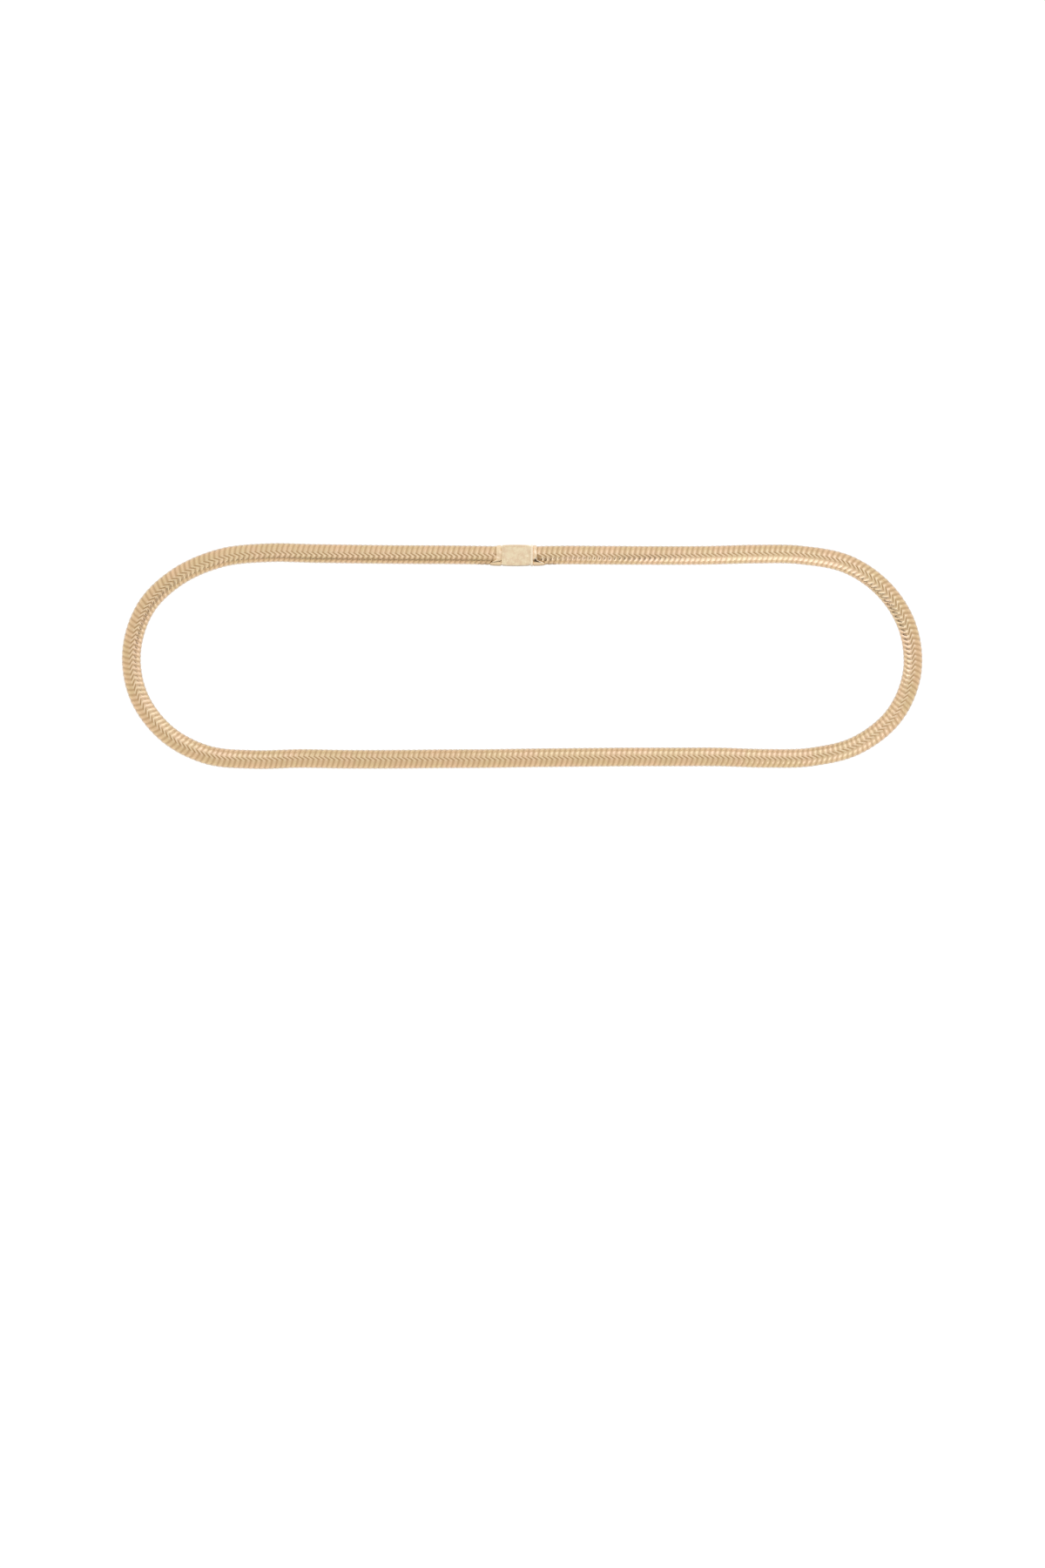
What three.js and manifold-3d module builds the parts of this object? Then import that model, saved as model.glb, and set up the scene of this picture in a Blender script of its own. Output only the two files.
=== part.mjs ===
// Snake chain belt: a round chain closed into a loop by a small box clasp, lying flat on a surface.
// Millimetres, +Z up. The origin is the middle of the belt's footprint, on the surface it lies on.
// The clasp is in the middle of the long side towards +Y, and its face looks up.
import * as THREE from "three";
import { mergeVertices } from "three/addons/utils/BufferGeometryUtils.js";
import Module from "manifold-3d";

// Driving dimensions
const CHAIN_DIAMETER = 8;
const SHEET = 0.3; // thickness of the sheet that the end caps are drawn from
const CAP_CLEARANCE = 0.2; // between the chain and the wall of its cap
const FIT_GAP = 0.3; // between pieces that meet face to face
const SECTION_SIDES = 12; // of the chain and its caps, with one flat side on the surface
const CHAIN_STEPS = 80; // straight stretches that the chain's tube is made of

// The clasp, closed: its box is on the left and the end plate of its tongue on the right
const CLASP_Y = 43.3;
const BOX = { left: -8.9, length: 12.4, width: 8.9, bow: 0.2, edge: 0.6, corner: 0.9 };
const CAVITY = { endWall: 1.6, width: 6.2, height: 3.6 };
const PLATE = { thickness: 0.7, corner: 0.9 };
const TONGUE = { width: 5.2, leaf: 0.5, reach: 9, foldBack: 6.5, spread: 1.2 };

// An end cap is closed towards the clasp, and its mouth is cut at a slant: it is shortest on the
// outside of the loop and longest on the inside
const CAP_END_WALL = 0.6;
const CAP_LEFT = { outerLength: 2.2, innerLength: 4.6 };
const CAP_RIGHT = { outerLength: 1.8, innerLength: 4.8 };

// From the middle of the even section to its flat sides
const CHAIN_TO_FLAT = CHAIN_DIAMETER / 2;
const BORE_TO_FLAT = CHAIN_TO_FLAT + CAP_CLEARANCE;
const CAP_TO_FLAT = BORE_TO_FLAT + SHEET;

// Heights of the middle line, where the chain lies on the surface and where its caps do
const RESTING_Z = CHAIN_TO_FLAT;
const CLASP_Z = CAP_TO_FLAT;

// Places along X, from the box outwards
const BOX_RIGHT = BOX.left + BOX.length;
const PLATE_LEFT = BOX_RIGHT + FIT_GAP;
const CAP_RIGHT_FACE = PLATE_LEFT + PLATE.thickness + FIT_GAP;
const CAP_LEFT_FACE = BOX.left - FIT_GAP;
const CHAIN_START = CAP_RIGHT_FACE + CAP_END_WALL + FIT_GAP;
const CHAIN_END = CAP_LEFT_FACE - CAP_END_WALL - FIT_GAP;

// The chain's middle line, clockwise from the right cap to the left one: X, Y, and how far it
// is lifted off the surface beside the clasp. Both long sides sag a little into the loop, and
// the left end is rounder than the right.
const CLASP_LIFT = CLASP_Z - RESTING_Z;
const ROUTE = [
  [CHAIN_START, CLASP_Y, CLASP_LIFT],
  [20, 43.5, 0.4],
  [40, 43.4, 0.12],
  [60, 43.3, 0.02],
  [80, 43.4, 0],
  [100, 43.9, 0],
  [120, 43.5, 0],
  [140, 39.5, 0],
  [156, 28.4, 0],
  [166, 12, 0],
  [167.8, -7.5, 0],
  [160, -25.8, 0],
  [144, -38.4, 0],
  [124.5, -43.4, 0],
  [104.5, -44, 0],
  [84.5, -43.4, 0],
  [64.5, -43.4, 0],
  [44.5, -43.4, 0],
  [24.5, -43.6, 0],
  [4.5, -43.8, 0],
  [-15.5, -44.1, 0],
  [-35.5, -44.2, 0],
  [-55.5, -44.4, 0],
  [-75.5, -44.4, 0],
  [-95.5, -44.1, 0],
  [-115.5, -44.5, 0],
  [-135.5, -42.5, 0],
  [-153, -33.4, 0],
  [-165, -17.5, 0],
  [-168.2, 2, 0],
  [-162, 21, 0],
  [-148, 34.4, 0],
  [-129.5, 42.3, 0],
  [-109.5, 44.5, 0],
  [-89.5, 44.2, 0],
  [-69.5, 43.9, 0.02],
  [-49.5, 43.7, 0.12],
  [-29.5, 43.6, 0.4],
  [CHAIN_END, CLASP_Y, CLASP_LIFT],
];

const FINISH = {
  chain: new THREE.MeshStandardMaterial({ color: 0xdbbf98, roughness: 0.3, metalness: 1 }),
  cap: new THREE.MeshStandardMaterial({ color: 0xe0c7a0, roughness: 0.3, metalness: 1 }),
  clasp: new THREE.MeshStandardMaterial({ color: 0xe6d6b0, roughness: 0.35, metalness: 1 }),
};

const wasm = await Module();
wasm.setup();

// A closed geometry as a solid that can be joined and cut.
function solidOf(geometry) {
  const bare = geometry.clone().deleteAttribute("normal").deleteAttribute("uv");
  const merged = mergeVertices(bare, 1e-4);
  return new wasm.Manifold(
    new wasm.Mesh({
      numProp: 3,
      vertProperties: new Float32Array(merged.attributes.position.array),
      triVerts: new Uint32Array(merged.index.array),
    }),
  );
}

// A joined or cut solid as a geometry again.
function geometryOf(solid) {
  const mesh = solid.getMesh();
  const geometry = new THREE.BufferGeometry();
  geometry.setAttribute("position", new THREE.BufferAttribute(mesh.vertProperties, mesh.numProp));
  geometry.setIndex(new THREE.BufferAttribute(mesh.triVerts, 1));
  geometry.computeVertexNormals();
  return geometry;
}

function piece(name, geometry, finish) {
  const mesh = new THREE.Mesh(geometry, finish);
  mesh.name = name;
  return mesh;
}

// The even section: a regular polygon with flat sides above, below, left and right.
function evenSection(toFlat) {
  const turn = (2 * Math.PI) / SECTION_SIDES;
  const toCorner = toFlat / Math.cos(turn / 2);
  const corners = Array.from({ length: SECTION_SIDES }, (_, side) => {
    const angle = (side + 0.5) * turn;
    return new THREE.Vector2(toCorner * Math.cos(angle), toCorner * Math.sin(angle));
  });
  return new THREE.Shape(corners);
}

// A section drawn about the clasp's axis, as a bar from one X to another.
function barAlongX(section, fromX, toX) {
  const geometry = new THREE.ExtrudeGeometry(section, {
    depth: toX - fromX,
    bevelEnabled: false,
    curveSegments: 4,
  });
  geometry.rotateY(Math.PI / 2);
  geometry.translate(fromX, CLASP_Y, CLASP_Z);
  return geometry;
}

function makeChain() {
  const points = ROUTE.map(([x, y, lift]) => new THREE.Vector3(x, y, RESTING_Z + lift));
  const tube = new THREE.ExtrudeGeometry(evenSection(CHAIN_TO_FLAT), {
    steps: CHAIN_STEPS,
    extrudePath: new THREE.CatmullRomCurve3(points, false, "catmullrom", 0.5),
  });
  return piece("chain", tube, FINISH.chain);
}

// A cup with its closed face at an X and its slanted mouth in a direction along X, +1 or -1.
function makeCap(name, faceX, direction, { outerLength, innerLength }) {
  const spare = 1;
  const at = (distance) => faceX + direction * distance;
  const bar = (toFlat, near, far) => {
    const [fromX, toX] = [at(near), at(far)].sort((a, b) => a - b);
    return solidOf(barAlongX(evenSection(toFlat), fromX, toX));
  };
  const beyondMouth = new THREE.Shape([
    new THREE.Vector2(at(innerLength), CLASP_Y - CAP_TO_FLAT),
    new THREE.Vector2(at(innerLength + spare), CLASP_Y - CAP_TO_FLAT),
    new THREE.Vector2(at(innerLength + spare), CLASP_Y + CAP_TO_FLAT + spare),
    new THREE.Vector2(at(outerLength), CLASP_Y + CAP_TO_FLAT + spare),
    new THREE.Vector2(at(outerLength), CLASP_Y + CAP_TO_FLAT),
  ]);
  const slant = new THREE.ExtrudeGeometry(beyondMouth, {
    depth: 2 * CAP_TO_FLAT + 2 * spare,
    bevelEnabled: false,
  });
  slant.translate(0, 0, -spare);
  const cup = bar(CAP_TO_FLAT, 0, innerLength)
    .subtract(bar(BORE_TO_FLAT, CAP_END_WALL, innerLength + spare))
    .subtract(solidOf(slant));
  return piece(name, geometryOf(cup), FINISH.cap);
}

// The box seen from above: square ends, and long sides that bow out a little.
function boxPlan() {
  const { length, width, bow, corner } = BOX;
  const x = length / 2;
  const y = width / 2 - bow;
  const plan = new THREE.Shape();
  plan.moveTo(-x, -y + corner);
  plan.quadraticCurveTo(-x, -y, -x + corner, -y);
  plan.quadraticCurveTo(0, -y - 2 * bow, x - corner, -y);
  plan.quadraticCurveTo(x, -y, x, -y + corner);
  plan.lineTo(x, y - corner);
  plan.quadraticCurveTo(x, y, x - corner, y);
  plan.quadraticCurveTo(0, y + 2 * bow, -x + corner, y);
  plan.quadraticCurveTo(-x, y, -x, y - corner);
  plan.closePath();
  return plan;
}

// The box has eased edges and a cavity that opens to the right, where the tongue goes in.
function makeBox() {
  const body = new THREE.ExtrudeGeometry(boxPlan(), {
    depth: 2 * CAP_TO_FLAT - 2 * BOX.edge,
    bevelThickness: BOX.edge,
    bevelSize: BOX.edge,
    bevelOffset: -BOX.edge,
    bevelSegments: 3,
    curveSegments: 6,
  });
  body.translate(BOX.left + BOX.length / 2, CLASP_Y, BOX.edge);
  const depth = BOX.length - CAVITY.endWall;
  const spare = 1;
  const cavity = new THREE.BoxGeometry(depth + spare, CAVITY.width, CAVITY.height);
  cavity.translate(BOX_RIGHT - (depth - spare) / 2, CLASP_Y, CLASP_Z);
  const box = solidOf(body).subtract(solidOf(cavity));
  return piece("clasp_box", geometryOf(box), FINISH.clasp);
}

// The end plate: as wide and as high as the caps, with rounded corners.
function plateSection() {
  const { corner } = PLATE;
  const middle = CAP_TO_FLAT - corner;
  const section = new THREE.Shape();
  section.absarc(middle, -middle, corner, -Math.PI / 2, 0);
  section.absarc(middle, middle, corner, 0, Math.PI / 2);
  section.absarc(-middle, middle, corner, Math.PI / 2, Math.PI);
  section.absarc(-middle, -middle, corner, Math.PI, 1.5 * Math.PI);
  section.closePath();
  return section;
}

// The spring tongue seen from the side: out to its fold, and back above itself to a raised end.
function tongueProfile() {
  const { leaf, reach, foldBack, spread } = TONGUE;
  const rootX = PLATE_LEFT + PLATE.thickness / 2;
  const foldX = BOX_RIGHT - reach;
  const tipX = foldX + foldBack;
  const z = CLASP_Z - leaf - spread / 2;
  return new THREE.Shape([
    new THREE.Vector2(rootX, z),
    new THREE.Vector2(rootX, z + leaf),
    new THREE.Vector2(foldX + 2 * leaf, z + leaf),
    new THREE.Vector2(tipX, z + leaf + spread),
    new THREE.Vector2(tipX, z + 2 * leaf + spread),
    new THREE.Vector2(foldX + leaf / 2, z + 2 * leaf),
    new THREE.Vector2(foldX, z + leaf),
    new THREE.Vector2(foldX, z + leaf / 2),
    new THREE.Vector2(foldX + leaf / 2, z),
  ]);
}

// The end plate and the folded tongue behind it are soldered together.
function makeTongue() {
  const plate = barAlongX(plateSection(), PLATE_LEFT, PLATE_LEFT + PLATE.thickness);
  const blade = new THREE.ExtrudeGeometry(tongueProfile(), {
    depth: TONGUE.width,
    bevelEnabled: false,
  });
  blade.rotateX(Math.PI / 2);
  blade.translate(0, CLASP_Y + TONGUE.width / 2, 0);
  const tongue = solidOf(plate).add(solidOf(blade));
  return piece("clasp_tongue", geometryOf(tongue), FINISH.clasp);
}

const belt = new THREE.Group();
belt.add(makeChain());
belt.add(makeCap("end_cap_left", CAP_LEFT_FACE, -1, CAP_LEFT));
belt.add(makeBox());
belt.add(makeTongue());
belt.add(makeCap("end_cap_right", CAP_RIGHT_FACE, 1, CAP_RIGHT));

export default belt;
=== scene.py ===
"""Fine shapes, finishes and studio of a snake chain belt that lies closed on a pale table.

Metres, +Z up. The loop lies flat with its clasp at the far side, towards +Y. Every piece is made
in place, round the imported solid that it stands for.
"""

import logging
import math
from collections.abc import Callable, Iterator, Mapping, Sequence
from contextlib import contextmanager
from dataclasses import dataclass
from enum import Enum
from itertools import pairwise
from typing import Any, ClassVar, NamedTuple

import bmesh
import bpy
from mathutils import Matrix, Quaternion, Vector


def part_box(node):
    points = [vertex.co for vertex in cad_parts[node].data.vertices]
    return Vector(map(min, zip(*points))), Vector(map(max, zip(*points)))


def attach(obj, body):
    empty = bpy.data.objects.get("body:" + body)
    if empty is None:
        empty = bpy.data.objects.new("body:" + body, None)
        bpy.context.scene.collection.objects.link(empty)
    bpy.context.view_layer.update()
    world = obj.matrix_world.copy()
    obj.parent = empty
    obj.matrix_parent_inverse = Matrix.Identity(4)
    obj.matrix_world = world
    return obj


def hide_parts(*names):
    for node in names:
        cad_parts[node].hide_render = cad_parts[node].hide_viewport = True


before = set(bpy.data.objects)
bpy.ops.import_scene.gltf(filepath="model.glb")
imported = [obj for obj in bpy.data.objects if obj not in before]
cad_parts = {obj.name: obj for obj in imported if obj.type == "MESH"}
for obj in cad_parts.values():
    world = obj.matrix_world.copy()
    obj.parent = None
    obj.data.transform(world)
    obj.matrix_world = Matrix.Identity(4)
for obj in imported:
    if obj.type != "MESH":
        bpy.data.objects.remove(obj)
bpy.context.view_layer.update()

Object = bpy.types.Object
Material = bpy.types.Material
Colour = tuple[float, float, float, float]
Point = tuple[float, float, float]
Ramp = tuple[float, float]
Test = Callable[[Any], bool]

LOG = logging.getLogger("belt")
BODY = "root"
WEAVE_MAP = "weave"
MM = 0.001
RIGHT = Vector((1, 0, 0))
UP = Vector((0, 0, 1))

# How near two points are that count as one, and the cosine past which a face looks one way
TOUCHING = 0.001 * MM
SQUARE_ON = 0.99


class Slot(Enum):
    """The record's material slots."""

    CHAIN = "chain_gold"
    CAP = "cap_gold"
    CLASP = "clasp_gold"


class Elements(Enum):
    """What an edit mode selection is made of."""

    VERTICES = "VERT"
    EDGES = "EDGE"
    FACES = "FACE"


class Side(Enum):
    """The way that an end cap's mouth looks, along X."""

    LEFT = -1
    RIGHT = 1


class Rounding(NamedTuple):
    """How an edge is rounded: its radius, and the faces across it."""

    radius: float
    faces: int


# Modelling by hand


def take(piece: Object) -> None:
    """Makes a piece the only selected object, and the active one."""
    bpy.ops.object.select_all(action="DESELECT")
    piece.select_set(True)
    bpy.context.view_layer.objects.active = piece


def settle(piece: Object) -> Object:
    """Puts a piece's place into its mesh.

    Args:
        piece: An object that was added at its place.

    Returns:
        The same object, now at the origin, unturned and unscaled.
    """
    take(piece)
    bpy.ops.object.transform_apply(location=True, rotation=True, scale=True)
    return piece


@contextmanager
def editing(piece: Object, elements: Elements, wanted: Test | None = None) -> Iterator[None]:
    """Opens a piece for edit mode operators.

    Args:
        piece: The object to edit.
        elements: What is selected in it.
        wanted: Says of an element whether it is selected. Without it, all are.

    Yields:
        Nothing: the piece is in edit mode meanwhile.
    """
    take(piece)
    bpy.ops.object.mode_set(mode="EDIT")
    bpy.ops.mesh.select_mode(type=elements.value)
    bpy.ops.mesh.select_all(action="SELECT")
    if wanted:
        pick(piece, elements, wanted)
    yield
    bpy.ops.object.mode_set(mode="OBJECT")


def pick(piece: Object, elements: Elements, wanted: Test) -> None:
    """Selects the wanted elements of the piece being edited, and no others.

    Args:
        piece: The object in edit mode.
        elements: The kind of element to go through.
        wanted: Says of an element whether it is selected.
    """
    mesh = bmesh.from_edit_mesh(piece.data)
    mesh.normal_update()
    layers = {
        Elements.VERTICES: mesh.verts,
        Elements.EDGES: mesh.edges,
        Elements.FACES: mesh.faces,
    }
    bpy.ops.mesh.select_all(action="DESELECT")
    for element in layers[elements]:
        if wanted(element):
            element.select_set(True)
    mesh.select_flush_mode()
    bmesh.update_edit_mesh(piece.data)


def looks(*ways: Vector) -> Test:
    """Wants the faces that look squarely one of these ways."""
    return lambda face: any(face.normal.dot(way) > SQUARE_ON for way in ways)


def stands_at(x: float) -> Test:
    """Wants the vertices at a place along X."""
    return lambda vertex: abs(vertex.co.x - x) < TOUCHING


def runs_along(shortest: float) -> Test:
    """Wants the edges that reach further than this along X."""
    return lambda edge: abs(edge.verts[0].co.x - edge.verts[1].co.x) > shortest


def extrude(step: Sequence[float]) -> None:
    """Draws what is selected out by a step."""
    bpy.ops.mesh.extrude_region_move(TRANSFORM_OT_translate={"value": step})


def round_selected(rounding: Rounding) -> None:
    """Rounds the selected edges of the piece being edited."""
    bpy.ops.mesh.bevel(offset=rounding.radius, segments=rounding.faces, affect="EDGES")


def round_rim(piece: Object, wanted: Test, rounding: Rounding) -> None:
    """Rounds the edges all round some faces.

    Args:
        piece: The object to shape.
        wanted: Says of a face whether it is one of them.
        rounding: How their edges are rounded.
    """
    with editing(piece, Elements.FACES, wanted):
        bpy.ops.mesh.region_to_loop()
        round_selected(rounding)


def modify(piece: Object, kind: str, **settings: Any) -> None:
    """Adds a modifier to a piece and applies it.

    Args:
        piece: The object to shape.
        kind: The modifier's type.
        **settings: The modifier's own settings.
    """
    take(piece)
    modifier = piece.modifiers.new(kind.lower(), kind)
    for name, value in settings.items():
        setattr(modifier, name, value)
    bpy.ops.object.modifier_apply(modifier=modifier.name)


def round_creases(piece: Object, rounding: Rounding, sharpest: float) -> None:
    """Rounds all of a piece's edges that turn by more than an angle.

    Args:
        piece: The object to shape.
        rounding: How its edges are rounded.
        sharpest: The angle, in radians, up to which an edge stays as it is.
    """
    modify(
        piece,
        "BEVEL",
        width=rounding.radius,
        segments=rounding.faces,
        limit_method="ANGLE",
        angle_limit=sharpest,
    )


def displace(piece: Object, kind: str, look: Mapping[str, Any], **settings: Any) -> None:
    """Moves a piece's surface in and out by a pattern.

    Args:
        piece: The object to shape.
        kind: The pattern's type.
        look: The pattern's own settings.
        **settings: The displacement's settings.
    """
    pattern = bpy.data.textures.new(kind.lower(), kind)
    for name, value in look.items():
        setattr(pattern, name, value)
    modify(piece, "DISPLACE", texture=pattern, texture_coords="LOCAL", **settings)
    bpy.data.textures.remove(pattern)


def turn_outwards(piece: Object) -> None:
    """Merges a piece's doubles and turns its faces outwards."""
    with editing(piece, Elements.FACES):
        bpy.ops.mesh.remove_doubles(threshold=TOUCHING)
        bpy.ops.mesh.normals_make_consistent(inside=False)


def block(low: Vector, high: Vector) -> Object:
    """Adds a square block between its lowest and its highest corner."""
    bpy.ops.mesh.primitive_cube_add(size=1, location=(low + high) / 2, scale=high - low)
    return settle(bpy.context.active_object)


# Shader maths


class Value:
    """A number, colour or vector socket. Operators on numbers add Math nodes."""

    def __init__(self, graph: "Graph", socket: bpy.types.NodeSocket | None) -> None:
        """Wraps a socket of a graph."""
        self.graph = graph
        self.socket = socket

    def _maths(self, operation: str, *numbers: "Value | float") -> "Value":
        """Adds a Math node for an operation on numbers."""
        inputs = dict(enumerate(numbers))
        return self.graph.add("ShaderNodeMath", {"operation": operation}, inputs)

    def __add__(self, other: "Value | float") -> "Value":
        """Adds a number."""
        return self._maths("ADD", self, other)

    def __radd__(self, other: float) -> "Value":
        """Is added to a number."""
        return self._maths("ADD", other, self)

    def __sub__(self, other: "Value | float") -> "Value":
        """Takes a number away."""
        return self._maths("SUBTRACT", self, other)

    def __rsub__(self, other: float) -> "Value":
        """Is taken away from a number."""
        return self._maths("SUBTRACT", other, self)

    def __mul__(self, other: "Value | float") -> "Value":
        """Is multiplied by a number."""
        return self._maths("MULTIPLY", self, other)

    def __rmul__(self, other: float) -> "Value":
        """Multiplies a number."""
        return self._maths("MULTIPLY", other, self)

    def __abs__(self) -> "Value":
        """Drops the sign."""
        return self._maths("ABSOLUTE", self)

    def __floor__(self) -> "Value":
        """Rounds down."""
        return self._maths("FLOOR", self)

    def fraction(self) -> "Value":
        """Keeps what is left over a whole number."""
        return self._maths("FRACT", self)

    def step_up(self, start: float, end: float) -> "Value":
        """Rises smoothly from 0, at the start and before it, to 1, at the end and past it."""
        inputs = {"Value": self, "From Min": start, "From Max": end}
        return self.graph.add("ShaderNodeMapRange", {"interpolation_type": "SMOOTHSTEP"}, inputs)


class Graph:
    """The node tree of a material or world, emptied and ready for nodes."""

    MIX_FACTOR, MIX_FROM, MIX_TO, MIX_RESULT = 0, 6, 7, 2

    def __init__(self, owner: Material | bpy.types.World) -> None:
        """Empties the owner's node tree."""
        owner.use_nodes = True
        self.tree = owner.node_tree
        self.tree.nodes.clear()

    def add(
        self,
        kind: str,
        settings: Mapping[str, Any] | None = None,
        inputs: Mapping[str | int, Any] | None = None,
        output: str | int = 0,
    ) -> Value:
        """Adds a node.

        Args:
            kind: The node's type.
            settings: Its own settings, which are set first.
            inputs: The values or links of its sockets, by name or place.
            output: The socket that is wanted, by name or place.

        Returns:
            The node's output.
        """
        node = self.tree.nodes.new(kind)
        for name, value in (settings or {}).items():
            setattr(node, name, value)
        for key, value in (inputs or {}).items():
            if isinstance(value, Value):
                self.tree.links.new(value.socket, node.inputs[key])
            else:
                node.inputs[key].default_value = value
        return Value(self, node.outputs[output] if node.outputs else None)

    def mix(self, share: Value | float, start: Any, end: Any) -> Value:
        """Mixes two colours, with this share of the second one."""
        inputs = {self.MIX_FACTOR: share, self.MIX_FROM: start, self.MIX_TO: end}
        return self.add("ShaderNodeMix", {"data_type": "RGBA"}, inputs, self.MIX_RESULT)

    def place(self, stretch: Point = (1, 1, 1)) -> Value:
        """The point on the piece, in metres, for a pattern this much finer along each axis."""
        point = self.add("ShaderNodeTexCoord", output="Object")
        return self.add("ShaderNodeMapping", inputs={"Vector": point, "Scale": stretch})

    def noise(self, point: Value, scale: float, detail: float = 3) -> Value:
        """Cloudy noise from 0 to 1, with this many clouds to the metre and finer layers."""
        inputs = {"Vector": point, "Scale": scale, "Detail": detail}
        return self.add("ShaderNodeTexNoise", inputs=inputs)


def linear(share: float) -> float:
    """How strong a colour's channel is, from its share on a maker's chart."""
    return share / 12.92 if share <= 0.04045 else ((share + 0.055) / 1.055) ** 2.4


def srgb(red: int, green: int, blue: int) -> Colour:
    """The opaque colour that a maker's chart gives from 0 to 255 in each channel."""
    return (linear(red / 255), linear(green / 255), linear(blue / 255), 1.0)


# Finishes


@dataclass(frozen=True)
class Finish:
    """What a piece of the belt or of the studio is finished in.

    Attributes:
        name: The material's name.
    """

    name: str

    def sockets(self, graph: Graph) -> Mapping[str, Any]:
        """The values and links of the shader's sockets, which each kind of finish gives."""
        raise NotImplementedError

    def material(self) -> Material:
        """Makes the finish.

        Returns:
            The finish as a material.
        """
        made = bpy.data.materials.new(self.name)
        graph = Graph(made)
        surface = graph.add("ShaderNodeBsdfPrincipled", inputs=self.sockets(graph))
        graph.add("ShaderNodeOutputMaterial", inputs={"Surface": surface})
        return made


@dataclass(frozen=True)
class GoldPlate(Finish):
    """Light gold plate over brass, under a thin clear lacquer.

    Attributes:
        colour: The plate's own colour.
        blush: The rosier tone that it drifts to in patches.
        patches: Such patches to the metre.
        patch_edge: Where in the noise a patch starts, and where it is at its rosiest.
        roughness: How matt it is, from 0 to 1.
        wear: How far the roughness varies.
        wear_marks: Marks of handling to the metre.
        lacquer: How much clear lacquer shows on it, from 0 to 1.
        lacquer_roughness: How matt the lacquer is, from 0 to 1.
        grain: Marks of polishing to the metre.
        grain_depth: How deep they look, in metres.
        grain_stretch: How many times finer the marks are along each axis.
    """

    colour: Colour = srgb(221, 194, 149)
    blush: Colour = srgb(227, 192, 153)
    patches: float = 110.0
    patch_edge: Ramp = (0.35, 0.65)
    roughness: float = 0.26
    wear: float = 0.14
    wear_marks: float = 400.0
    lacquer: float = 0.35
    lacquer_roughness: float = 0.12
    grain: float = 5000.0
    grain_depth: float = 0.01 * MM
    grain_stretch: Point = (1, 1, 1)

    def tone(self, graph: Graph) -> Value:
        """The plate's colour, which drifts between its two tones."""
        blushing = graph.noise(graph.place(), self.patches).step_up(*self.patch_edge)
        return graph.mix(blushing, self.colour, self.blush)

    def matt(self, graph: Graph) -> Value:
        """The roughness, a little uneven from handling."""
        handled = graph.noise(graph.place(), self.wear_marks)
        return handled * self.wear + (self.roughness - self.wear / 2)

    def relief(self, graph: Graph) -> Value:
        """The surface normal, with fine marks of polishing."""
        marks = graph.noise(graph.place(self.grain_stretch), self.grain, detail=2)
        return graph.add("ShaderNodeBump", inputs={"Distance": self.grain_depth, "Height": marks})

    def sockets(self, graph: Graph) -> Mapping[str, Any]:
        """The values and links of the shader's sockets."""
        return {
            "Base Color": self.tone(graph),
            "Metallic": 1.0,
            "Roughness": self.matt(graph),
            "Normal": self.relief(graph),
            "Coat Weight": self.lacquer,
            "Coat Roughness": self.lacquer_roughness,
        }


@dataclass(frozen=True)
class Weave:
    """How the plates of a link follow each other round the chain.

    Attributes:
        pairs: Long plates round a link, and as many short ones.
        short_share: How much of a pair its short plate takes.
    """

    pairs: int = 3
    short_share: float = 0.14


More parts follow.
